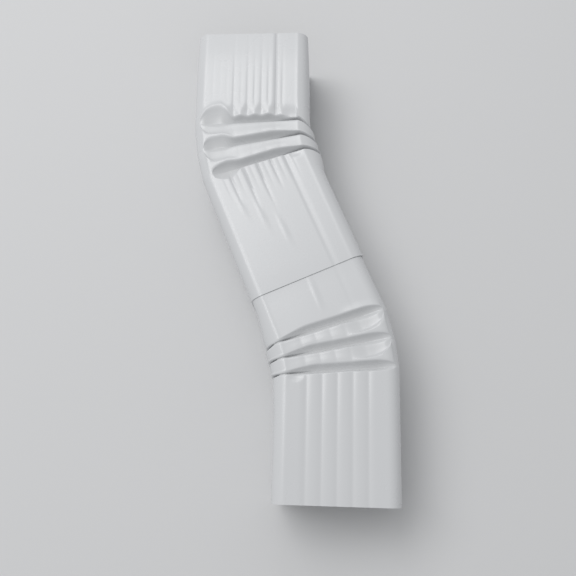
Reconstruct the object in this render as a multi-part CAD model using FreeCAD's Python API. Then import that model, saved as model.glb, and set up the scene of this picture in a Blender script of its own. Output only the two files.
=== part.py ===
"""Downspout offset: two pleated sheet-metal elbows, the lower one's male end inside the upper one.

It lies on a wide face: Z is up, the legs run along Y, the water runs towards -Y, and both bends lie
in the XY plane. Sizes are millimetres and degrees.
"""
import FreeCAD
import Part
import math
import os
from dataclasses import dataclass

os.makedirs("parts", exist_ok=True)

# The sheet and the section of a 2 x 3 inch corrugated downspout.
GAUGE = 0.6
SECTION_WIDTH = 82.55
SECTION_DEPTH = 60.3
CORNER_RADIUS = 9.0
CORNER_STEPS = 3

# The grooves rolled along the sheet: five on each wide side, three on each narrow side.
GROOVE_PITCH = 10.0
GROOVE_MOUTH = 6.6
GROOVE_FLOOR = 1.0
WIDE_GROOVE_COUNT = 5
NARROW_GROOVE_COUNT = 3
GROOVE_DEPTH = 1.1
BAND_GROOVE_DEPTH = 0.4
LAP_GROOVE_DEPTH = 0.3

# The fan of pleats: its pivot lies beside the throat, this far from the centre line.
BEND_RADIUS = 122.5
PLEATS = 3
PLEAT_DEPTH_HEEL = 4.2

# Each pleat is a pocket: a sloping wall, a narrow floor, a steep rise and a land. Runs are measured
# along the flow, and places across the elbow are measured from the throat or from the heel.
FLOOR_WIDTH = 0.5
RIDGE_WIDTH = 1.0
END_RUN = 0.6
FACE_STARTS = 40.0
WALL_RUN_THROAT = 0.3
WALL_RUN_FACE = 5.2
RISE_RUN_THROAT = 0.3
RISE_RUN_FACE = 1.5
RISE_RUN_HEEL = 4.2
RISE_SHARE_FACE = 0.12
RISE_SHARE_HEEL = 0.45
BACK_RUN = 10.5
HEEL_ZONE = 34.0
HEEL_FULL = 20.0

# Where the folds gather, the throat's side bows out, as this power of the height from its middle.
BOW_POWER = 3

# The joint between the two elbows.
LAP_LENGTH = 38.0
LAP_CLEARANCE = 0.4
LAP_INSET = GAUGE + LAP_CLEARANCE


@dataclass
class Elbow:
    """One elbow. Its turn is +1 where the throat lies towards +X, and -1 where it lies towards -X."""

    node: str
    turn: int
    inlet_tilt: float
    bend: float
    first_valley: float
    valley_pitch: float
    inlet_length: float
    outlet_length: float
    collar_length: float
    collar_inset: float
    inlet_groove: float
    outlet_groove: float
    fade_length: float
    throat_depth: float
    throat_bows: tuple
    heel_bulges: tuple
    last_rise: float
    pocket_stops: tuple
    pocket_rounds: tuple


LOWER = Elbow(
    node="lower_elbow", turn=-1, inlet_tilt=24.0, bend=24.0, first_valley=5.0, valley_pitch=6.9,
    inlet_length=63.6, outlet_length=73.0, collar_length=LAP_LENGTH, collar_inset=LAP_INSET,
    inlet_groove=LAP_GROOVE_DEPTH, outlet_groove=GROOVE_DEPTH, fade_length=10.0,
    throat_depth=4.0, throat_bows=(3.0, 4.0, 3.0, 1.3), heel_bulges=(0.0, 0.0, 0.0),
    last_rise=4.2, pocket_stops=(3.4, 3.4, 3.4), pocket_rounds=(14.0, 14.0, 14.0))
UPPER = Elbow(
    node="upper_elbow", turn=1, inlet_tilt=1.0, bend=23.0, first_valley=2.9, valley_pitch=7.3,
    inlet_length=63.6, outlet_length=78.7, collar_length=20.0, collar_inset=0.0,
    inlet_groove=GROOVE_DEPTH, outlet_groove=LAP_GROOVE_DEPTH, fade_length=16.0,
    throat_depth=5.8, throat_bows=(1.0, 4.0, 4.8, 4.4), heel_bulges=(8.5, 5.5, 3.0),
    last_rise=6.8, pocket_stops=(5.0, 6.0, 8.5), pocket_rounds=(14.0, 8.0, 13.0))


def ease(share):
    """A smooth step from 0 to 1."""
    share = min(1.0, max(0.0, share))
    return share * share * (3.0 - 2.0 * share)


def blend(start, end, share):
    """The value at a share of the way from start to end."""
    return start + (end - start) * share


def on_face(x):
    """How far a place across the elbow has left the throat, from 0 to 1."""
    return ease((x + SECTION_WIDTH / 2) / FACE_STARTS)


def near_heel(x):
    """How far a place across the elbow has come into the heel's zone, from 0 to 1."""
    return ease((x - SECTION_WIDTH / 2 + HEEL_ZONE) / (HEEL_ZONE - HEEL_FULL))


def round_throat(x):
    """How far a place has come round the corner to the throat's side, from 0 to 1."""
    return min(1.0, max(0.0, (CORNER_RADIUS - SECTION_WIDTH / 2 - x) / CORNER_RADIUS))


def closing(x, elbow, pleat):
    """The round end of a pocket: 1 along the pocket, 0 where it stops short of the heel."""
    stop, round_end = elbow.pocket_stops[pleat], elbow.pocket_rounds[pleat]
    share = (x - SECTION_WIDTH / 2 + stop + round_end) / round_end
    share = min(1.0, max(0.0, share))
    return math.sqrt(1.0 - share * share)


def wall_run(x, elbow, pleat):
    """The run of a pocket's sloping wall."""
    run = blend(WALL_RUN_THROAT, WALL_RUN_FACE, on_face(x)) + elbow.heel_bulges[pleat] * near_heel(x)
    return blend(END_RUN, run, closing(x, elbow, pleat))


def rise_run(x, elbow, pleat):
    """The run of a pocket's steep rise."""
    heel_run = elbow.last_rise if pleat == PLEATS - 1 else RISE_RUN_HEEL
    run = blend(RISE_RUN_THROAT, RISE_RUN_FACE, on_face(x))
    run = blend(run, heel_run, near_heel(x))
    return blend(END_RUN, run, closing(x, elbow, pleat))


def rise_share(x):
    """The share of the depth that is left at the top of the steep rise."""
    return blend(RISE_SHARE_FACE * on_face(x), RISE_SHARE_HEEL, near_heel(x))


def pleat_depth(x, elbow, pleat):
    """How far a valley's floor lies under the sheet's face."""
    share = (x + SECTION_WIDTH / 2) / SECTION_WIDTH
    return blend(elbow.throat_depth, PLEAT_DEPTH_HEEL, share) * closing(x, elbow, pleat)


def back_run(x, elbow, pleat):
    """The run from a valley to the ridge in front of the next pocket, or to the pocket's own end."""
    place = BEND_RADIUS + x - elbow.throat_bows[pleat + 1] * round_throat(x)
    pitch = math.radians(elbow.valley_pitch) * place
    room = pitch - wall_run(x, elbow, pleat + 1) - FLOOR_WIDTH - RIDGE_WIDTH
    shortest = rise_run(x, elbow, pleat) + END_RUN
    return blend(shortest, max(shortest, min(BACK_RUN, room)), closing(x, elbow, pleat))


def side_points(length, grooves):
    """Places along one straight side, as (place, whether it is a groove's floor)."""
    points = [(-length / 2, False)]
    for number in range(grooves):
        centre = (number - (grooves - 1) / 2) * GROOVE_PITCH
        for half, floor in ((-GROOVE_MOUTH, False), (-GROOVE_FLOOR, True),
                            (GROOVE_FLOOR, True), (GROOVE_MOUTH, False)):
            points.append((centre + half / 2, floor))
    points.append((length / 2, False))
    return points


def outline():
    """The section's outline, as (x, z, outward x, outward z, whether it is a groove's floor)."""
    half_width = SECTION_WIDTH / 2
    half_depth = SECTION_DEPTH / 2
    wide = side_points(SECTION_WIDTH - 2 * CORNER_RADIUS, WIDE_GROOVE_COUNT)
    narrow = side_points(SECTION_DEPTH - 2 * CORNER_RADIUS, NARROW_GROOVE_COUNT)
    sides = [(wide, half_depth), (narrow, half_width), (wide, half_depth), (narrow, half_width)]
    points = []
    for quarter, (side, reach) in enumerate(sides):
        turn = math.radians(-90.0 * quarter)
        cos, sin = math.cos(turn), math.sin(turn)
        for place, floor in side:
            points.append((place * cos - reach * sin, place * sin + reach * cos, -sin, cos, floor))
        corner_x, corner_z = side[-1][0], reach - CORNER_RADIUS
        for step in range(1, CORNER_STEPS):
            angle = math.radians(90.0 - 90.0 * step / CORNER_STEPS)
            out_x, out_z = math.cos(angle), math.sin(angle)
            x, z = corner_x + CORNER_RADIUS * out_x, corner_z + CORNER_RADIUS * out_z
            points.append((x * cos - z * sin, x * sin + z * cos,
                           out_x * cos - out_z * sin, out_x * sin + out_z * cos, False))
    return points


OUTLINE = outline()


@dataclass
class Station:
    """One profile across an elbow: its angle in the fan, its bow, and its run and sink across.

    The side groove is the grooves' depth where the profile has left the pocket at the heel.
    """

    angle: float
    pleat: int
    groove: float
    side_groove: float
    bow: float = 0.0
    inset: float = 0.0
    run: object = lambda x: 0.0
    sink: object = lambda x: 0.0


def pleat_stations(elbow, pleat, crest_groove):
    """The profiles of one pleat: wall top, both edges of the floor, rise top, and the ridge."""
    angle = elbow.first_valley + pleat * elbow.valley_pitch
    before, after = elbow.throat_bows[pleat], elbow.throat_bows[pleat + 1]
    half_floor = FLOOR_WIDTH / 2
    band = BAND_GROOVE_DEPTH

    def deep(x):
        return pleat_depth(x, elbow, pleat)

    stations = [
        Station(angle, pleat, crest_groove, band, before,
                run=lambda x: -half_floor - wall_run(x, elbow, pleat)),
        Station(angle, pleat, 0.0, band, before, run=lambda x: -half_floor, sink=deep),
        Station(angle, pleat, 0.0, band, after, run=lambda x: half_floor, sink=deep),
    ]
    if pleat == PLEATS - 1:
        stations.append(Station(angle, pleat, GROOVE_DEPTH, band, after,
                                run=lambda x: half_floor + rise_run(x, elbow, pleat)))
        return stations
    stations.append(Station(angle, pleat, band, band, after,
                            run=lambda x: half_floor + rise_run(x, elbow, pleat),
                            sink=lambda x: rise_share(x) * deep(x)))
    stations.append(Station(angle, pleat, band, band, after,
                            run=lambda x: half_floor + back_run(x, elbow, pleat)))
    return stations


def stations_of(elbow):
    """All the profiles of an elbow, from its inlet to its outlet."""
    collar = elbow.inlet_length - elbow.collar_length
    inlet, outlet = elbow.inlet_groove, elbow.outlet_groove
    last = PLEATS - 1
    stations = [
        Station(0.0, 0, inlet, inlet, inset=LAP_INSET, run=lambda x: -elbow.inlet_length),
        Station(0.0, 0, inlet, inlet, inset=elbow.collar_inset, run=lambda x: -collar),
    ]
    for pleat in range(PLEATS):
        crest = elbow.inlet_groove if pleat == 0 else BAND_GROOVE_DEPTH
        stations += pleat_stations(elbow, pleat, crest)
    stations.append(Station(elbow.bend, last, outlet, outlet, run=lambda x: elbow.fade_length))
    stations.append(Station(elbow.bend, last, outlet, outlet, run=lambda x: elbow.outlet_length))
    return stations


def directions(elbow, angle):
    """The plan directions from the pivot to the heel and along the flow, at an angle in the fan."""
    tilt = math.radians(elbow.inlet_tilt + elbow.turn * angle)
    to_heel = FreeCAD.Vector(-elbow.turn * math.cos(tilt), -elbow.turn * math.sin(tilt), 0)
    flow = FreeCAD.Vector(math.sin(tilt), -math.cos(tilt), 0)
    return to_heel, flow


def profile(elbow, pivot, station):
    """The outer side's points at one station."""
    to_heel, flow = directions(elbow, station.angle)
    points = []
    for x, z, out_x, out_z, floor in OUTLINE[::-elbow.turn]:
        in_pocket = closing(x, elbow, station.pleat)
        groove = blend(station.side_groove, station.groove, in_pocket) if floor else 0.0
        inward = station.inset + station.sink(x) + groove
        bowed = 1.0 - abs(2 * z / SECTION_DEPTH) ** BOW_POWER if x < 0 else 0.0
        place = BEND_RADIUS + x - inward * out_x - station.bow * bowed
        height = SECTION_DEPTH / 2 + z - inward * out_z
        points.append(pivot + to_heel * place + flow * station.run(x) + FreeCAD.Vector(0, 0, height))
    return points


def quad_normal(rows, row, column):
    """The outward direction of the facet between two profiles and two neighbouring points."""
    following = (column + 1) % len(rows[0])
    across = rows[row + 1][following] - rows[row][column]
    back = rows[row][following] - rows[row + 1][column]
    return across.cross(back).normalize()


def inner_side(rows, flow_in, flow_out):
    """The sheet's inner side: each point lies one gauge under the facets that meet there."""
    count = len(rows[0])
    inner = []
    for row, points in enumerate(rows):
        inner_points = []
        for column, point in enumerate(points):
            normals = [quad_normal(rows, r, c % count) for r in (row - 1, row)
                       if 0 <= r < len(rows) - 1 for c in (column - 1, column)]
            mean = FreeCAD.Vector()
            for normal in normals:
                mean += normal
            mean.normalize()
            if row in (0, len(rows) - 1):
                flow = flow_in if row == 0 else flow_out
                mean = (mean - flow * mean.dot(flow)).normalize()
            lean = sum(mean.dot(normal) for normal in normals) / len(normals)
            inner_points.append(point - mean * (GAUGE / lean))
        inner.append(inner_points)
    return inner


def facets(rows):
    """The skin between neighbouring profiles, flat where its four corners are in one plane."""
    faces = []
    count = len(rows[0])
    for near, far in zip(rows, rows[1:]):
        for column in range(count):
            following = (column + 1) % count
            corners = [near[column], near[following], far[following], far[column]]
            normal = (corners[1] - corners[0]).cross(corners[3] - corners[0]).normalize()
            if abs((corners[2] - corners[0]).dot(normal)) < 1e-6:
                faces.append(Part.Face(Part.makePolygon(corners + corners[:1])))
                continue
            for triangle in ((0, 1, 2), (0, 2, 3)):
                loop = [corners[index] for index in triangle]
                faces.append(Part.Face(Part.makePolygon(loop + loop[:1])))
    return faces


def rim(outer, inner):
    """The cut edge of the sheet at an open end."""
    wires = [Part.makePolygon(points + points[:1]) for points in (outer, inner)]
    return Part.makeFace(wires, "Part::FaceMakerBullseye")


def elbow_solid(elbow, pivot):
    """One elbow as a closed solid of folded sheet."""
    outer = [profile(elbow, pivot, station) for station in stations_of(elbow)]
    inner = inner_side(outer, directions(elbow, 0.0)[1], directions(elbow, elbow.bend)[1])
    faces = facets(outer) + facets(inner) + [rim(outer[0], inner[0]), rim(outer[-1], inner[-1])]
    shell = Part.makeShell(faces)
    shell.sewShape()
    solid = Part.makeSolid(shell)
    if solid.Volume < 0:
        solid.reverse()
    return solid


def pivot_from_outlet(elbow, outlet):
    """The fan's pivot, from the middle of the outlet."""
    to_heel, flow = directions(elbow, elbow.bend)
    return outlet - flow * elbow.outlet_length - to_heel * BEND_RADIUS


def inlet_of(elbow, pivot):
    """The middle of the inlet, and the direction of the flow there."""
    to_heel, flow = directions(elbow, 0.0)
    return pivot + to_heel * BEND_RADIUS - flow * elbow.inlet_length, flow


def build():
    """Both elbows, with the origin under the middle of the pair."""
    lower_pivot = pivot_from_outlet(LOWER, FreeCAD.Vector())
    inlet, flow = inlet_of(LOWER, lower_pivot)
    upper_pivot = pivot_from_outlet(UPPER, inlet + flow * LAP_LENGTH)
    solids = {LOWER.node: elbow_solid(LOWER, lower_pivot), UPPER.node: elbow_solid(UPPER, upper_pivot)}
    box = Part.makeCompound(list(solids.values())).BoundBox
    middle = FreeCAD.Vector(-box.Center.x, -box.Center.y, -box.ZMin)
    for node, solid in solids.items():
        solid.translate(middle)
        solid.exportStep(f"parts/{node}.step")
        print(node, solid.isValid(), round(solid.Volume), len(solid.Faces), solid.BoundBox)
    print("shift", middle)


build()
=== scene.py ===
"""Dresses the packed downspout offset: two pleated, white-enamelled sheet-metal elbows, nested."""

import math

import bpy
from mathutils import Euler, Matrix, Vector


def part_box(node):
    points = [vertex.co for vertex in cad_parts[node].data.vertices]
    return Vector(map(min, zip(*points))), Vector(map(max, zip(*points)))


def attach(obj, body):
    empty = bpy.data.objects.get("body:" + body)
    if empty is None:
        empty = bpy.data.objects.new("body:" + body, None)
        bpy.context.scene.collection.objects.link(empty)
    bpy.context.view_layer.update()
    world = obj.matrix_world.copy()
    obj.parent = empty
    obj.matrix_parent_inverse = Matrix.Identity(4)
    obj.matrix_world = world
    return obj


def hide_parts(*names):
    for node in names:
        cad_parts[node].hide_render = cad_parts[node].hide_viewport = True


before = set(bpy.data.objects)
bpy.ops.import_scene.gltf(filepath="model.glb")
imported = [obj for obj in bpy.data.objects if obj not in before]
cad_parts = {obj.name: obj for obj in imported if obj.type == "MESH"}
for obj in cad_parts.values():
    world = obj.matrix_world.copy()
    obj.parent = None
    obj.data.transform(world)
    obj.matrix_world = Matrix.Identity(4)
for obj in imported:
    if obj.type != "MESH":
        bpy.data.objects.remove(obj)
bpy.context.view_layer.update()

# The sheet of both elbows.
# It is 0.6 mm aluminium, corrugated in the flat, rolled up and seamed into a 2 x 3 inch section,
# then pleated on one side so that it bends. The rule below folds it, row by row along the flow.
SHEET = {
    "Gauge": 0.0006,
    "Section width": 0.08255,
    "Section depth": 0.0603,
    "Corner radius": 0.009,
    "Groove pitch": 0.010,
    "Groove mouth": 0.0096,
    "Crease mouth": 0.0036,
    "Bend radius": 0.1225,
    "Pleat depth at heel": 0.0040,
    "Floor width": 0.0005,
    "Ridge width": 0.0010,
    "End run": 0.0006,
    "Face opens": 0.002,
    "Face starts": 0.030,
    "Wall run on face": 0.0052,
    "Rise run on face": 0.0017,
    "Rise run at heel": 0.0028,
    "Rise share on face": 0.12,
    "Rise share at heel": 0.48,
    "Back run": 0.0105,
    "Lip": 0.00045,
    "Notch length": 0.0085,
    "Notch half width": 0.0052,
    "Dent": 0.0009,
    "Inlet inset": 0.0008,
    "Edge inset": 0.00018,
    "Ripple": 0.0002,
    "Ripple scale": 32.0,
}

# How finely each elbow is divided: columns round the section, and rows along the flow.
AROUND = 360
CORNER_POINTS = 24
INLET_ROWS = 16
WALL_ROWS = 10
RISE_ROWS = 8
BACK_ROWS = 10
LAND_ROWS = 3
OUTLET_ROWS = 24
PLEATS = 3
FLOOR_AT = WALL_ROWS + 1
BACK_AT = FLOOR_AT + RISE_ROWS
LAND_AT = BACK_AT + BACK_ROWS
PLEAT_ROWS = LAND_AT + LAND_ROWS
ALL_ROWS = INLET_ROWS + (PLEATS - 1) * PLEAT_ROWS + BACK_AT + OUTLET_ROWS

# The folds' cross sections, as heights over their runs: curves beside the throat and on the wide
# faces, powers at the heel. A pocket's round end closes by a power too.
WALL_AT_THROAT = ((0.0, 0.0), (1.0, 1.0), (0.35, 0.05), (0.75, 0.22), (0.93, 0.55))
WALL_ON_FACE = ((0.0, 0.0), (1.0, 1.0), (0.12, 0.06), (0.35, 0.38), (0.65, 0.76))
RISE_AT_THROAT = ((0.0, 0.0), (1.0, 1.0), (0.07, 0.45), (0.25, 0.78), (0.65, 0.95))
RISE_ON_FACE = ((0.0, 0.0), (1.0, 1.0), (0.30, 0.55), (0.60, 0.88))
FAST_RISE = 1.6
SLOW_RISE = 2.2
BACK_CURL = 6.0
BACK_STRAIGHT = 0.4
BACK_CLOSING = 1.4
DEPTH_CLOSING = 1.6

# Where the small forms lie and how far they reach, in metres along or across the flow.
STEEP_SIDE = 0.0018
GENTLE_SIDE = 0.0042
TIGHT_ZONE = (0.001, 0.004, 0.007, 0.013)
CREST_REACH = (0.003, 0.009)
FLUTE_REACH = (0.002, 0.012)
FLUTE_ACROSS = (-0.012, 0.022)
TAIL_FLUTE_REACH = (0.004, 0.020)
DISH_LENGTH = 0.009
DISH_ACROSS = (0.013, 0.025)
STREAK_REACH = (-0.001, 0.002, 0.008, 0.024)
TAIL_START = 0.0225
TAIL_START_X = 0.020
TAIL_LAST_X = -0.006
TAIL_HALF_LENGTH = 0.0095
TAIL_OFFSET = 0.0018
DENT_ACROSS = 0.015
DENT_HALF_WIDTH = 0.0055
DENT_LENGTH = 0.0033
EDGE_RUN = 0.007
LIP_RUN = 0.003
BEAD_PLACE = 0.001
BEAD_HALF_WIDTH = 0.0028
BEAD_CHANGE = 0.012
RIPPLE_ROW = 0.0016
WELD_DISTANCE = 0.00001

# Shares of those forms, and the limits of a flat face and of a sharp edge.
HEEL_SOFTENING = 0.8
MIDDLE_FADE = 1.5
CREST_SHARE = 0.35
KEPT_CREST_SHARE = 0.65
FLUTE_AT_HEEL = 0.35
NOTCH_TIP = 0.35
TAIL_SLANT = 1.27
FLAT = 0.999
SHARP_ANGLE = math.radians(48.0)


class Field:
    """A value in the node tree, so that a fold's rule can be written as a plain formula."""

    def __init__(self, tree, socket):
        self.tree = tree
        self.socket = socket

    def __add__(self, other):
        return node_math("ADD", self, other)

    def __radd__(self, other):
        return node_math("ADD", other, self)

    def __sub__(self, other):
        return node_math("SUBTRACT", self, other)

    def __rsub__(self, other):
        return node_math("SUBTRACT", other, self)

    def __mul__(self, other):
        return node_math("MULTIPLY", self, other)

    def __rmul__(self, other):
        return node_math("MULTIPLY", other, self)

    def __truediv__(self, other):
        return node_math("DIVIDE", self, other)

    def __neg__(self):
        return node_math("MULTIPLY", self, -1.0)


def feed(tree, value, socket):
    """Links a field to a socket, or sets a plain number on it."""
    if isinstance(value, Field):
        tree.links.new(value.socket, socket)
    else:
        socket.default_value = value


def node_math(operation, *values):
    """A math node on one or two values, in the tree of the first field among them."""
    tree = next(value.tree for value in values if isinstance(value, Field))
    node = tree.nodes.new("ShaderNodeMath")
    node.operation = operation
    for socket, value in zip(node.inputs, values):
        feed(tree, value, socket)
    return Field(tree, node.outputs[0])


def clamped(value, low, high):
    """The value, held between low and high."""
    return node_math("MAXIMUM", node_math("MINIMUM", value, high), low)


def ramp(value, start, end, easing="LINEAR"):
    """0 up to start, 1 from end, and a line or an eased step between them."""
    node = value.tree.nodes.new("ShaderNodeMapRange")
    node.interpolation_type = easing
    for name, part in (("Value", value), ("From Min", start), ("From Max", end)):
        feed(value.tree, part, node.inputs[name])
    return Field(value.tree, node.outputs["Result"])


def ease(value, start, end):
    """A smooth step from 0 at start to 1 at end."""
    return ramp(value, start, end, "SMOOTHSTEP")


def band(value, start, full, fade, end):
    """1 between full and fade, with a smooth step up from start and one down to end."""
    return ease(value, start, full) * (1.0 - ease(value, fade, end))


def mix(start, end, share):
    """The value at a share of the way from start to end."""
    return start + (end - start) * share


def shaped(value, points):
    """A fold's shape: the height at each share of its run, drawn as a smooth curve."""
    node = value.tree.nodes.new("ShaderNodeFloatCurve")
    curve = node.mapping.curves[0]
    for number, point in enumerate(points):
        if number < 2:
            curve.points[number].location = point
        else:
            curve.points.new(*point)
    node.mapping.update()
    feed(value.tree, value, node.inputs["Value"])
    return Field(value.tree, node.outputs["Value"])


def axis_parts(tree, socket):
    """The X, Y and Z of a vector socket."""
    node = tree.nodes.new("ShaderNodeSeparateXYZ")
    tree.links.new(socket, node.inputs[0])
    return [Field(tree, output) for output in node.outputs]


def vector_of(tree, *values):
    """One vector socket from three fields."""
    node = tree.nodes.new("ShaderNodeCombineXYZ")
    for socket, value in zip(node.inputs, values):
        feed(tree, value, socket)
    return node.outputs[0]


def elbow_tree(names):
    """The node tree that folds one elbow's outer skin from a flat grid of rows."""
    tree = bpy.data.node_groups.new("pleated elbow", "GeometryNodeTree")
    tree.interface.new_socket("Geometry", in_out="OUTPUT", socket_type="NodeSocketGeometry")
    for name in names:
        tree.interface.new_socket(name, in_out="INPUT", socket_type="NodeSocketFloat")
    tree.interface.new_socket("Enamel", in_out="INPUT", socket_type="NodeSocketMaterial")
    group_in = tree.nodes.new("NodeGroupInput")
    group_out = tree.nodes.new("NodeGroupOutput")
    size = {name: Field(tree, group_in.outputs[name]) for name in names}
    nodes, link = tree.nodes, tree.links.new

    # The blank: one row of points for each station along the flow, one column for each place round it.
    grid = nodes.new("GeometryNodeMeshGrid")
    grid.inputs["Size X"].default_value = 1.0
    grid.inputs["Size Y"].default_value = 1.0
    grid.inputs["Vertices X"].default_value = AROUND + 1
    grid.inputs["Vertices Y"].default_value = ALL_ROWS + 1
    blank_x, blank_y, _ = axis_parts(tree, nodes.new("GeometryNodeInputPosition").outputs[0])
    round_share = blank_x + 0.5
    row = node_math("ROUND", (blank_y + 0.5) * ALL_ROWS)

    # The section: a rectangle with round corners, x from the throat to the heel, z through the depth.
    section = nodes.new("GeometryNodeCurvePrimitiveQuadrilateral")
    feed(tree, size["Section width"], section.inputs["Width"])
    feed(tree, size["Section depth"], section.inputs["Height"])
    fillet = nodes.new("GeometryNodeFilletCurve")
    fillet.mode = "POLY"
    fillet.inputs["Count"].default_value = CORNER_POINTS
    feed(tree, size["Corner radius"], fillet.inputs["Radius"])
    link(section.outputs[0], fillet.inputs["Curve"])
    sample = nodes.new("GeometryNodeSampleCurve")
    sample.mode = "FACTOR"
    link(fillet.outputs[0], sample.inputs["Curves"])
    feed(tree, round_share, sample.inputs["Factor"])
    x, z, _ = axis_parts(tree, sample.outputs["Position"])
    half_width = size["Section width"] * 0.5
    half_depth = size["Section depth"] * 0.5
    core_x = half_width - size["Corner radius"]
    core_z = half_depth - size["Corner radius"]
    out_x = (x - clamped(x, -core_x, core_x)) / size["Corner radius"]
    out_z = (z - clamped(z, -core_z, core_z)) / size["Corner radius"]

    # Places across the elbow: on the face, in the heel's zone, and in the pocket's round end.
    across = x + half_width
    from_heel = half_width - x
    on_face = ease(across, size["Face opens"], size["Face starts"])
    at_heel = 1.0 - ease(from_heel, size["Heel full"], size["Heel zone"])

    def by_pleat(name, number, start=1):
        """The value at a pleat, of the three sizes of that name that are counted from start."""
        first_two = mix(size[f"{name} {start}"], size[f"{name} {start + 1}"], ramp(number, 0.0, 1.0))
        return mix(first_two, size[f"{name} {start + 2}"], ramp(number, 1.0, 2.0))

    def closing_of(number):
        """1 along a pleat's pocket, falling to 0 through its round end near the heel."""
        stop = by_pleat("Pocket stop", number)
        end_share = 1.0 - ramp(from_heel, stop, stop + by_pleat("Pocket round", number))
        return node_math("SQRT", 1.0 - end_share * end_share)

    # Each row's place in its pleat: down the wall, over the floor, up the rise, back along the land.
    pleat_row = row - INLET_ROWS
    pleat = clamped(node_math("FLOOR", pleat_row / PLEAT_ROWS), 0.0, PLEATS - 1.0)
    last = node_math("GREATER_THAN", pleat, PLEATS - 1.5)
    step = pleat_row - pleat * PLEAT_ROWS
    wall = ramp(step, 0.0, WALL_ROWS)
    floor = ramp(step, WALL_ROWS, FLOOR_AT)
    rise = ramp(step, FLOOR_AT, BACK_AT)
    back = ramp(step, BACK_AT, LAND_AT)
    back = (1.0 - (1.0 - back) * (1.0 - back)) * (1.0 - last)
    land = ramp(step, LAND_AT, PLEAT_ROWS) * (1.0 - last)
    to_end = 1.0 - ramp(row, 0.0, INLET_ROWS)
    inlet = 1.0 - to_end * to_end
    outlet = ramp(step, BACK_AT, BACK_AT + OUTLET_ROWS) * last
    outlet = outlet * outlet

    # The grooves: five on a wide side and three on a narrow one, sharp at the bottom, with round ribs
    # between them. Near the inlet a finer flute lies halfway between two grooves.
    inlet_run = inlet * size["Inlet length"]
    outlet_run = outlet * size["Outlet length"]
    to_wall = (1.0 - inlet) * size["Inlet length"]
    on_wide = node_math("GREATER_THAN", node_math("ABSOLUTE", out_z), FLAT)
    past_first = node_math("MINIMUM", pleat, 1.0)
    shift = mix(size["Inlet shift"], size["Outlet shift"] * (1.0 - outlet), past_first)
    along_side = mix(z, x - shift, on_wide)
    outermost = 1.0 + on_wide
    nearest = node_math("ROUND", along_side / size["Groove pitch"])
    nearest = clamped(nearest, -outermost, outermost)
    beside = along_side - nearest * size["Groove pitch"]
    off_groove = node_math("ABSOLUTE", beside)
    off_flute = node_math("ABSOLUTE", off_groove - size["Groove pitch"] * 0.5)

    def trough_of(distance, mouth):
        """1 in a groove's bottom, and 0 from half its mouth away."""
        side = 1.0 - ramp(distance, 0.0, mouth * 0.5)
        return side * side

    wide_trough = trough_of(off_groove, size["Groove mouth"])
    crease = trough_of(off_groove, size["Crease mouth"])
    flute = trough_of(off_flute, size["Crease mouth"])

    def lopsided(distance):
        """1 on a line along the flow, falling off faster towards the left seen from above."""
        leftward = distance * size["Turn"]
        return (1.0 - ease(leftward, 0.0, STEEP_SIDE)) * (1.0 - ease(leftward, 0.0, -GENTLE_SIDE))

    # The outermost groove on one side, which runs on along the slanted leg, and the face's middle,
    # where the other grooves fade out later. Both change over at a rib, between two grooves.
    kept = ramp(x * size["Kept groove side"], size["Groove pitch"] * 1.5, size["Groove pitch"] * 1.6)
    off_middle = node_math("ABSOLUTE", x - size["Streak side"])
    middle = 1.0 - ramp(off_middle, size["Groove pitch"] * 0.9, size["Groove pitch"])

    # How long each part of the pleat is: the wall, the floor, the rise, and the way back to the land.
    def wall_run(number):
        """The length of a pleat's sloping wall."""
        run = mix(size["Wall run at throat"], size["Wall run on face"], on_face)
        return mix(size["End run"], run + by_pleat("Bulge", number) * at_heel, closing_of(number))

    closing = closing_of(pleat)
    half_floor = size["Floor width"] * 0.5
    floor_width = mix(size["Floor width at throat"], size["Floor width"], on_face)
    here_wall = wall_run(pleat)
    next_wall = wall_run(pleat + 1.0)
    rise_run = mix(size["Rise run at throat"], size["Rise run on face"], on_face)
    heel_rise = mix(size["Rise run at heel"], size["Last rise at heel"], last)
    rise_run = mix(size["End run"], mix(rise_run, heel_rise, at_heel), closing)
    round_throat = 1.0 - ramp(across, 0.0, size["Corner radius"])
    bow_after = by_pleat("Bow", pleat, 2)
    radius = size["Bend radius"] + x - bow_after * round_throat
    room = size["Valley pitch"] * radius - next_wall - floor_width - size["Ridge width"]
    shortest = rise_run + size["End run"]
    back_run = clamped(room, shortest, size["Back run"])
    back_run = mix(shortest, back_run, node_math("POWER", closing, BACK_CLOSING))
    run = (floor_width * floor - half_floor - here_wall * (1.0 - wall) + rise_run * rise
           + (back_run - rise_run) * back)
    drooping = round_throat * round_throat
    run = run + by_pleat("Droop", pleat) * drooping
    next_start = by_pleat("Droop", pleat + 1.0) * drooping - half_floor - next_wall

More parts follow.
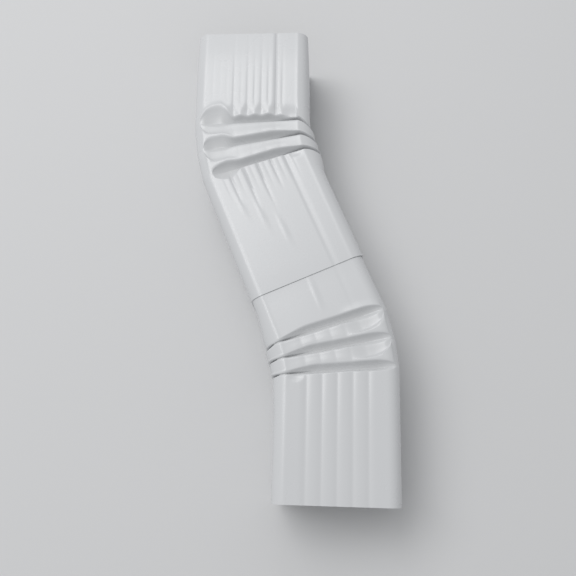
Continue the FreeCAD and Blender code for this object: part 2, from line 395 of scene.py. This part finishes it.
    # How deep each place is pressed in: rolled over at the crest, coved towards the valley.
    wall_shape = mix(shaped(wall, WALL_AT_THROAT), shaped(wall, WALL_ON_FACE), on_face)
    fast_rise = 1.0 - node_math("POWER", 1.0 - rise, FAST_RISE)
    last_rise = mix(fast_rise, node_math("POWER", rise, SLOW_RISE), size["Last lip"])
    rise_shape = mix(shaped(rise, RISE_AT_THROAT), shaped(rise, RISE_ON_FACE), on_face)
    rise_shape = mix(rise_shape, mix(fast_rise, last_rise, last), at_heel)
    round_back = mix(node_math("POWER", back, BACK_CURL), back, BACK_STRAIGHT)
    back_shape = mix(ease(back, 0.0, 1.0), round_back, at_heel)
    share = mix(size["Rise share on face"] * on_face, size["Rise share at heel"], at_heel)
    share = share * (1.0 - last)
    pressed = wall_shape * (1.0 - (1.0 - share) * rise_shape - share * back_shape)
    width_share = across / size["Section width"]
    pleat_depth = mix(size["Pleat depth at throat"], size["Pleat depth at heel"], width_share)
    tight = band(across, *TIGHT_ZONE)
    relief = 1.0 - by_pleat("Heel relief", pleat) * at_heel
    soft_end = node_math("POWER", closing, DEPTH_CLOSING)
    sink = pressed * pleat_depth * relief * soft_end * (1.0 - size["Tight fold"] * tight)

    # How deep the grooves are in each row. They fade along some legs; one of them runs on.
    first = 1.0 - ramp(pleat, 0.0, 1.0)
    off_heel = 1.0 - at_heel * HEEL_SOFTENING
    band_depth = size["Band groove"] * off_heel
    to_crest = ease(inlet_run, 0.0, size["Inlet growth"])
    inlet_depth = mix(size["Rim groove"], size["Inlet groove"], to_crest)
    inlet_depth = mix(inlet_depth, size["Kept groove"], kept) * off_heel
    crest_share = mix(CREST_SHARE, KEPT_CREST_SHARE, kept)
    inlet_depth = inlet_depth * mix(crest_share, 1.0, ease(to_wall, *CREST_REACH))
    fade_end = mix(size["Outlet fade"], size["Outlet fade"] * MIDDLE_FADE, middle)
    outlet_depth = mix(size["Outlet groove"], size["Kept outlet groove"], kept)
    outlet_depth = mix(size["Tail groove"], outlet_depth, ease(outlet_run, 0.0, fade_end))
    before = mix(band_depth, inlet_depth, first) * (1.0 - ease(wall, 0.0, 0.6))
    after = mix(band_depth, outlet_depth, last) * ease(rise, 0.0, 1.0)
    side_open = closing + ease((1.0 - inlet) + outlet, 0.0, 0.3)
    depth = mix(band_depth, before + after, node_math("MINIMUM", side_open, 1.0))
    sharp = mix(size["Inlet sharpness"] * first, size["Outlet sharpness"] * last, floor)
    on_slant = mix(first * (0.5 - size["Turn"] * 0.5), last * (0.5 + size["Turn"] * 0.5), floor)
    narrow_trough = mix(crease, lopsided(beside), kept * on_slant)
    groove = depth * mix(wide_trough, narrow_trough, sharp)

    # Fine flutes between the grooves of the inlet leg, and short ones past the last fold.
    flute_depth = size["Flute groove"] * first * to_crest * on_wide
    flute_depth = flute_depth * mix(1.0, FLUTE_AT_HEEL, ease(x, *FLUTE_ACROSS))
    flute_depth = flute_depth * ease(to_wall, *FLUTE_REACH)
    tail_flute = size["Tail flute"] * last * on_wide * ease(rise, 0.5, 1.0)
    tail_flute = tail_flute * (1.0 - ease(outlet_run, *TAIL_FLUTE_REACH))
    groove = groove + (flute_depth + tail_flute) * flute

    # A notch where each rib meets the first fold, and a shallow dish beside it at the throat.
    off_tip = ramp(to_wall, size["Notch length"], size["Notch length"] * NOTCH_TIP)
    off_tip = off_tip - off_groove / size["Notch half width"]
    notch = ease(off_tip, 0.0, 1.0) * size["Notch"] * first * on_wide * (1.0 - at_heel)
    groove = groove + notch * (1.0 - ease(wall, 0.0, 0.4))
    dish = (1.0 - ease(to_wall, 0.0, DISH_LENGTH)) * (1.0 - ease(across, *DISH_ACROSS)) * first
    groove = groove + dish * size["Throat dish"] * on_wide * (1.0 - ease(wall, 0.0, 0.6))

    # Low ridges on the upper face: one under the lap line, and one past the end of each groove that
    # fades out, farther along the leg the nearer it is to the throat.
    on_top = node_math("GREATER_THAN", out_z, FLAT)
    streak = size["Streak ridge"] * band(inlet_run - size["Collar length"], *STREAK_REACH)
    streak = streak * lopsided(x - size["Streak side"]) * on_top * first * (1.0 - wall)
    tail_place = TAIL_START + (TAIL_START_X - x) * TAIL_SLANT
    off_tail = node_math("ABSOLUTE", (outlet_run - tail_place) / TAIL_HALF_LENGTH)
    tail = size["Tail ridge"] * (1.0 - ease(off_tail, 0.2, 1.0)) * last * on_top
    tail = tail * lopsided(beside - TAIL_OFFSET) * node_math("GREATER_THAN", x, TAIL_LAST_X)
    groove = groove - streak - tail

    # A round dent under the last valley, near the throat.
    dent_x = (across - DENT_ACROSS) / DENT_HALF_WIDTH
    dent_y = outlet_run / DENT_LENGTH
    dent = node_math("MAXIMUM", 1.0 - dent_x * dent_x - dent_y * dent_y, 0.0)
    dent = dent * size["Dent"] * last * on_wide * ease(rise, 0.3, 1.0)

    # The reduced inlet end, the drawn-in edge, the sheet's faint unevenness, the rolled lips at the
    # heel and the raised line along the throat's upper edge.
    on_collar = ramp(inlet_run, 0.0, size["Collar length"])
    inset = mix(size["Inlet inset"], size["Collar inset"], on_collar)
    inset = inset * (1.0 - ramp(inlet_run, size["Collar length"], size["Inlet length"]))
    to_edge = ease(outlet_run, size["Outlet length"] - EDGE_RUN, size["Outlet length"])
    inset = inset + to_edge * size["Edge inset"]
    noise = nodes.new("ShaderNodeTexNoise")
    noise.inputs["Detail"].default_value = 1.0
    feed(tree, size["Ripple scale"], noise.inputs["Scale"])
    row_run = row * RIPPLE_ROW + size["Noise place"]
    link(vector_of(tree, x, row_run, z), noise.inputs["Vector"])
    ripple = Field(tree, noise.outputs["Fac"]) * size["Ripple"] * (1.0 - to_edge)
    near_crest = 1.0 - ease(to_wall, 0.0, LIP_RUN)
    lip = near_crest * (1.0 - ease(wall, 0.0, 0.35)) + ease(back, 0.82, 1.0)
    lip = node_math("MINIMUM", lip, 1.0) * size["Lip"] * at_heel * ease(closing, 0.0, 0.4)
    lip = lip * node_math("GREATER_THAN", out_z, -0.5)
    bead = 1.0 - ramp(node_math("ABSOLUTE", x + core_x + BEAD_PLACE), 0.0, BEAD_HALF_WIDTH)
    bead_height = mix(size["Edge bead"], size["Outlet bead"], ease(outlet_run, 0.0, BEAD_CHANGE))
    bead = bead * bead * bead_height * (1.0 - pressed) * node_math("GREATER_THAN", out_z, 0.0)
    inward = inset + sink + groove + dent + ripple - lip - bead

    # The throat's side bows out where the folds gather, most of all at its middle.
    bow = mix(by_pleat("Bow", pleat), bow_after, rise)
    bow = bow * (1.0 - ease(to_wall, 0.0, size["Bow run"]))
    bow = bow * (1.0 - ease(outlet_run, 0.0, size["Bow run"]))
    up_side = node_math("ABSOLUTE", z) / half_depth
    bow = bow * (1.0 - up_side * up_side * up_side) * node_math("LESS_THAN", x, 0.0)

    # The fan: every row turns about one pivot beside the throat.
    def fan(angle, distance):
        """The plan place of a row's points, at an angle and a distance past it along the flow."""
        tilt = size["Inlet tilt"] + size["Turn"] * angle
        sine = node_math("SINE", tilt)
        cosine = node_math("COSINE", tilt)
        place = size["Bend radius"] + x - inward * out_x - bow
        return (size["Pivot X"] - size["Turn"] * cosine * place + sine * distance,
                size["Pivot Y"] - size["Turn"] * sine * place - cosine * distance)

    angle = size["First valley"] + size["Valley pitch"] * pleat
    here = fan(angle, run)
    following = fan(angle + size["Valley pitch"], next_start)
    inlet_end = fan(0.0, -size["Inlet length"])
    outlet_end = fan(size["Bend"], size["Outlet length"])
    plan = [mix(a, b, land) for a, b in zip(here, following)]
    plan = [mix(a, b, outlet) for a, b in zip(plan, outlet_end)]
    plan = [mix(a, b, inlet) for a, b in zip(inlet_end, plan)]
    height = half_depth + z - inward * out_z

    # The folded skin, closed into a tube, with its faces outwards.
    # The 'pressed' attribute, how deep each place is folded in, is the mask of the enamel's painted
    # shade.
    store = nodes.new("GeometryNodeStoreNamedAttribute")
    store.data_type = "FLOAT"
    store.domain = "POINT"
    store.inputs["Name"].default_value = "pressed"
    link(grid.outputs["Mesh"], store.inputs["Geometry"])
    feed(tree, pressed * closing, store.inputs["Value"])
    place = nodes.new("GeometryNodeSetPosition")
    link(store.outputs[0], place.inputs["Geometry"])
    link(vector_of(tree, plan[0], plan[1], height), place.inputs["Position"])
    weld = nodes.new("GeometryNodeMergeByDistance")
    weld.inputs["Distance"].default_value = WELD_DISTANCE
    link(place.outputs[0], weld.inputs["Geometry"])
    flip = nodes.new("GeometryNodeFlipFaces")
    feed(tree, node_math("GREATER_THAN", size["Turn"], 0.0), flip.inputs["Selection"])
    link(weld.outputs[0], flip.inputs[0])
    smooth = nodes.new("GeometryNodeSetShadeSmooth")
    link(flip.outputs[0], smooth.inputs["Geometry"])
    realize = nodes.new("GeometryNodeRealizeInstances")
    link(smooth.outputs[0], realize.inputs[0])
    paint = nodes.new("GeometryNodeSetMaterial")
    link(realize.outputs[0], paint.inputs["Geometry"])
    link(group_in.outputs["Enamel"], paint.inputs["Material"])
    link(paint.outputs[0], group_out.inputs[0])
    return tree


def new_material(name):
    """A material with its nodes, its way to link them and its main shader."""
    material = bpy.data.materials.new(name)
    material.use_nodes = True
    nodes = material.node_tree.nodes
    return material, nodes, material.node_tree.links.new, nodes["Principled BSDF"]


def enamel():
    """Baked white enamel: satin, with faint orange peel, and painted shade: a patchy darker grey mixed
    in where the sheet is pressed into the folds.
    """
    material, nodes, link, shader = new_material("white_enamel")
    coords = nodes.new("ShaderNodeTexCoord")
    enamel_white = (0.630, 0.638, 0.650, 1.0)
    # Painted shade: the darker grey that is mixed in where the sheet is pressed into the folds.
    painted_shade_grey = (0.560, 0.566, 0.570, 1.0)
    cloud = nodes.new("ShaderNodeTexNoise")
    cloud.inputs["Scale"].default_value = 38.0
    cloud.inputs["Detail"].default_value = 4.0
    link(coords.outputs["Object"], cloud.inputs["Vector"])
    pressed = nodes.new("ShaderNodeAttribute")
    pressed.attribute_name = "pressed"
    # The painted shade's mask: how deep the sheet is pressed in, times the noise, so the shade is
    # patchy.
    shade_mask = nodes.new("ShaderNodeMath")
    shade_mask.operation = "MULTIPLY"
    link(pressed.outputs["Fac"], shade_mask.inputs[0])
    link(cloud.outputs["Fac"], shade_mask.inputs[1])
    colour = nodes.new("ShaderNodeMix")
    colour.data_type = "RGBA"
    colour.inputs["A"].default_value = enamel_white
    colour.inputs["B"].default_value = painted_shade_grey
    link(shade_mask.outputs[0], colour.inputs["Factor"])
    link(colour.outputs["Result"], shader.inputs["Base Color"])
    gloss = nodes.new("ShaderNodeMapRange")
    gloss.inputs["To Min"].default_value = 0.22
    gloss.inputs["To Max"].default_value = 0.32
    link(cloud.outputs["Fac"], gloss.inputs["Value"])
    link(gloss.outputs["Result"], shader.inputs["Roughness"])
    peel = nodes.new("ShaderNodeTexNoise")
    peel.inputs["Scale"].default_value = 900.0
    peel.inputs["Detail"].default_value = 2.0
    link(coords.outputs["Object"], peel.inputs["Vector"])
    bump = nodes.new("ShaderNodeBump")
    bump.inputs["Strength"].default_value = 0.08
    bump.inputs["Distance"].default_value = 0.0002
    link(peel.outputs["Fac"], bump.inputs["Height"])
    link(bump.outputs["Normal"], shader.inputs["Normal"])
    return material


def cut_edge():
    """The sheared edge of the sheet, bare aluminium."""
    material, nodes, link, shader = new_material("cut_edge")
    shader.inputs["Metallic"].default_value = 1.0
    coords = nodes.new("ShaderNodeTexCoord")
    grain = nodes.new("ShaderNodeTexNoise")
    grain.inputs["Scale"].default_value = 1500.0
    link(coords.outputs["Object"], grain.inputs["Vector"])
    colour = nodes.new("ShaderNodeValToRGB")
    colour.color_ramp.elements[0].color = (0.74, 0.75, 0.76, 1.0)
    colour.color_ramp.elements[1].color = (0.86, 0.87, 0.88, 1.0)
    link(grain.outputs["Fac"], colour.inputs["Fac"])
    link(colour.outputs["Color"], shader.inputs["Base Color"])
    shader.inputs["Roughness"].default_value = 0.4
    return material


def folded_elbow(name, tree, sizes, materials):
    """One elbow as a plain closed mesh: the folded skin, thickened inwards by the gauge."""
    piece = bpy.data.objects.new(name, bpy.data.meshes.new(name))
    bpy.context.scene.collection.objects.link(piece)
    fold = piece.modifiers.new("fold", "NODES")
    fold.node_group = tree
    for item in tree.interface.items_tree:
        if item.in_out == "INPUT" and item.name in sizes:
            fold[item.identifier] = sizes[item.name]
        elif item.in_out == "INPUT" and item.name == "Enamel":
            fold[item.identifier] = materials[0]
    wall = piece.modifiers.new("wall", "SOLIDIFY")
    wall.thickness = sizes["Gauge"]
    wall.offset = -1.0
    wall.use_even_offset = True
    wall.thickness_clamp = 0.0
    wall.material_offset_rim = 1
    evaluated = piece.evaluated_get(bpy.context.evaluated_depsgraph_get())
    mesh = bpy.data.meshes.new_from_object(evaluated)
    mesh.name = name
    piece.modifiers.clear()
    piece.data = mesh
    mesh.materials.clear()
    for material in materials:
        mesh.materials.append(material)
    mesh.set_sharp_from_angle(angle=SHARP_ANGLE)
    return piece


def leg_directions(sizes, angle):
    """The plan directions to the heel and along the flow, at an angle in an elbow's fan."""
    tilt = sizes["Inlet tilt"] + sizes["Turn"] * angle
    to_heel = Vector((-sizes["Turn"] * math.cos(tilt), -sizes["Turn"] * math.sin(tilt)))
    return to_heel, Vector((math.sin(tilt), -math.cos(tilt)))


def set_pivot(sizes, outlet):
    """Places an elbow's pivot from its outlet's middle, and returns its inlet's middle and flow."""
    to_heel, flow = leg_directions(sizes, sizes["Bend"])
    pivot = outlet - flow * sizes["Outlet length"] - to_heel * sizes["Bend radius"]
    sizes["Pivot X"], sizes["Pivot Y"] = pivot
    to_heel, flow = leg_directions(sizes, 0.0)
    return pivot + to_heel * sizes["Bend radius"] - flow * sizes["Inlet length"], flow


# The joint.
# The lower elbow's plan, worked back from its outlet end, says where the two elbows meet. The upper
# elbow is placed from there, so that the lap holds when a length is changed.
LOWER_PLAN = dict(SHEET, **{
    "Turn": -1.0,
    "Inlet tilt": math.radians(24.0),
    "Bend": math.radians(24.0),
    "Inlet length": 0.0636,
    "Outlet length": 0.073,
    "Collar length": 0.038,
})
lower_low, lower_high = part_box("lower_elbow")
lower_outlet = Vector((lower_high[0] - SHEET["Section width"] / 2, lower_low[1]))
lower_inlet, lap_flow = set_pivot(LOWER_PLAN, lower_outlet)
lap_end = lower_inlet + lap_flow * LOWER_PLAN["Collar length"]

# Upper elbow.
# It bends the slanted leg away from the inlet leg, and its outlet end goes over the lower elbow's
# inlet. Its own inlet end is drawn in a little, and its grooves deepen towards the first fold.
UPPER = dict(SHEET, **{
    "Turn": 1.0,
    "Inlet tilt": math.radians(1.0),
    "Bend": math.radians(23.0),
    "First valley": math.radians(2.9),
    "Valley pitch": math.radians(7.3),
    "Inlet length": 0.0636,
    "Outlet length": 0.0787,
    "Collar length": 0.020,
    "Collar inset": 0.0,
    "Pleat depth at throat": 0.0064,
    "Floor width at throat": 0.0015,
    "Wall run at throat": 0.0010,
    "Rise run at throat": 0.0006,
    "Rim groove": 0.0001,
    "Inlet groove": 0.0004,
    "Inlet growth": 0.048,
    "Inlet sharpness": 0.7,
    "Flute groove": 0.00032,
    "Inlet shift": 0.0026,
    "Outlet shift": 0.0014,
    "Notch": 0.0012,
    "Tail groove": 0.0011,
    "Tail flute": 0.0002,
    "Tail ridge": 0.0003,
    "Throat dish": 0.0016,
    "Band groove": 0.00015,
    "Outlet groove": 0.0,
    "Outlet fade": 0.022,
    "Outlet sharpness": 1.0,
    "Kept groove": 0.00085,
    "Kept outlet groove": 0.00022,
    "Kept groove side": -1.0,
    "Streak ridge": 0.0,
    "Streak side": 0.005,
    "Droop 1": 0.0060,
    "Droop 2": 0.0050,
    "Droop 3": 0.0040,
    "Heel relief 1": 0.40,
    "Heel relief 2": 0.35,
    "Heel relief 3": 0.0,
    "Tight fold": 0.0,
    "Last rise at heel": 0.0068,
    "Last lip": 0.6,
    "Heel zone": 0.0300,
    "Heel full": 0.0195,
    "Bulge 1": 0.0085,
    "Bulge 2": 0.0032,
    "Bulge 3": 0.0015,
    "Pocket stop 1": 0.0050,
    "Pocket stop 2": 0.0060,
    "Pocket stop 3": 0.0085,
    "Pocket round 1": 0.014,
    "Pocket round 2": 0.008,
    "Pocket round 3": 0.013,
    "Bow 1": 0.0010,
    "Bow 2": 0.0040,
    "Bow 3": 0.0048,
    "Bow 4": 0.0044,
    "Bow run": 0.016,
    "Edge bead": 0.00022,
    "Outlet bead": 0.00016,
    "Noise place": 3.0,
})
set_pivot(UPPER, lap_end)

fold_tree = elbow_tree([name for name in UPPER if name != "Gauge"])
sheet_materials = [enamel(), cut_edge()]
upper = folded_elbow("upper_elbow_sheet", fold_tree, UPPER, sheet_materials)
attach(upper, "root")
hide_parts("upper_elbow")

# Lower elbow.
# It bends back the other way. Its inlet end is reduced by the gauge and a clearance and is pushed
# 38 mm into the upper elbow; its outlet leg keeps the full section and shallow grooves to its end.
LOWER = dict(LOWER_PLAN, **{
    "First valley": math.radians(5.0),
    "Valley pitch": math.radians(6.9),
    "Collar inset": 0.0008,
    "Pleat depth at throat": 0.0036,
    "Floor width at throat": 0.0006,
    "Wall run at throat": 0.0012,
    "Rise run at throat": 0.0010,
    "Rim groove": 0.0,
    "Inlet groove": 0.0,
    "Inlet growth": 0.035,
    "Inlet sharpness": 1.0,
    "Flute groove": 0.0,
    "Inlet shift": 0.0,
    "Outlet shift": 0.0,
    "Notch": 0.0,
    "Tail groove": 0.00065,
    "Tail flute": 0.0,
    "Tail ridge": 0.0,
    "Throat dish": 0.0,
    "Band groove": 0.00024,
    "Outlet groove": 0.0005,
    "Outlet fade": 0.028,
    "Outlet sharpness": 0.0,
    "Kept groove": 0.0003,
    "Kept outlet groove": 0.0005,
    "Kept groove side": 1.0,
    "Streak ridge": 0.0003,
    "Streak side": 0.0,
    "Droop 1": 0.0015,
    "Droop 2": 0.0010,
    "Droop 3": 0.0010,
    "Heel relief 1": 0.0,
    "Heel relief 2": 0.0,
    "Heel relief 3": 0.0,
    "Tight fold": 0.7,
    "Last rise at heel": 0.0024,
    "Last lip": 0.0,
    "Heel zone": 0.034,
    "Heel full": 0.020,
    "Bulge 1": 0.0,
    "Bulge 2": 0.0,
    "Bulge 3": 0.0,
    "Pocket stop 1": 0.0034,
    "Pocket stop 2": 0.0034,
    "Pocket stop 3": 0.0034,
    "Pocket round 1": 0.014,
    "Pocket round 2": 0.014,
    "Pocket round 3": 0.014,
    "Bow 1": 0.0030,
    "Bow 2": 0.0040,
    "Bow 3": 0.0030,
    "Bow 4": 0.0013,
    "Bow run": 0.022,
    "Edge bead": 0.00015,
    "Outlet bead": 0.0,
    "Noise place": 7.0,
})

lower = folded_elbow("lower_elbow_sheet", fold_tree, LOWER, sheet_materials)
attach(lower, "root")
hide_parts("lower_elbow")

# The table it lies on, the light and the camera.
# A pale matt surface, one large soft lamp over the far left, a small second one over the inlet leg, a
# weak sky, and a camera that looks steeply down from over the outlet leg.
bpy.ops.mesh.primitive_plane_add(size=6.0, location=(0.0, 0.0, 0.0))
table = bpy.context.object
table.name = "table"
table_paint, _, _, table_shader = new_material("table_paint")
table_shader.inputs["Base Color"].default_value = (0.65, 0.652, 0.658, 1.0)
table_shader.inputs["Roughness"].default_value = 0.8
table.data.materials.append(table_paint)


def add_lamp(name, width, length, energy, place, aim):
    """A rectangular lamp at a place, aimed at a point."""
    data = bpy.data.lights.new(name, "AREA")
    data.shape = "RECTANGLE"
    data.size = width
    data.size_y = length
    data.energy = energy
    lamp = bpy.data.objects.new(name, data)
    lamp.location = place
    lamp.rotation_euler = (Vector(aim) - lamp.location).to_track_quat("-Z", "Y").to_euler()
    bpy.context.scene.collection.objects.link(lamp)


add_lamp("soft_lamp", 1.6, 1.35, 28.8, (-0.93, 0.75, 2.08), (0.0, 0.0, 0.0))
add_lamp("window", 0.13, 0.16, 0.21, (-0.06, 0.45, 0.59), (-0.02, 0.10, 0.06))

world = bpy.data.worlds.new("room")
bpy.context.scene.world = world
world.use_nodes = True
sky = world.node_tree.nodes["Background"]
sky.inputs["Color"].default_value = (0.975, 0.987, 1.0, 1.0)
sky.inputs["Strength"].default_value = 0.495

FOCAL_PIXELS = 666.7
FRAME_PIXELS = 576.0
SENSOR = 36.0
CAMERA_FROM_OUTLET = (-0.01134, 0.03752)
CAMERA_HEIGHT = 0.49204
CAMERA_TURN = (13.087, 2.879, 0.932)
camera_data = bpy.data.cameras.new("camera")
camera_data.sensor_width = SENSOR
camera_data.lens = FOCAL_PIXELS / FRAME_PIXELS * SENSOR
camera_data.clip_start = 0.01
camera = bpy.data.objects.new("camera", camera_data)
camera_x, camera_y = (middle + gap for middle, gap in zip(lower_outlet, CAMERA_FROM_OUTLET))
camera.location = (camera_x, camera_y, CAMERA_HEIGHT)
camera.rotation_mode = "ZYX"
camera.rotation_euler = Euler([math.radians(angle) for angle in CAMERA_TURN], "ZYX")
bpy.context.scene.collection.objects.link(camera)
bpy.context.scene.camera = camera
bpy.context.scene.view_settings.view_transform = "Standard"
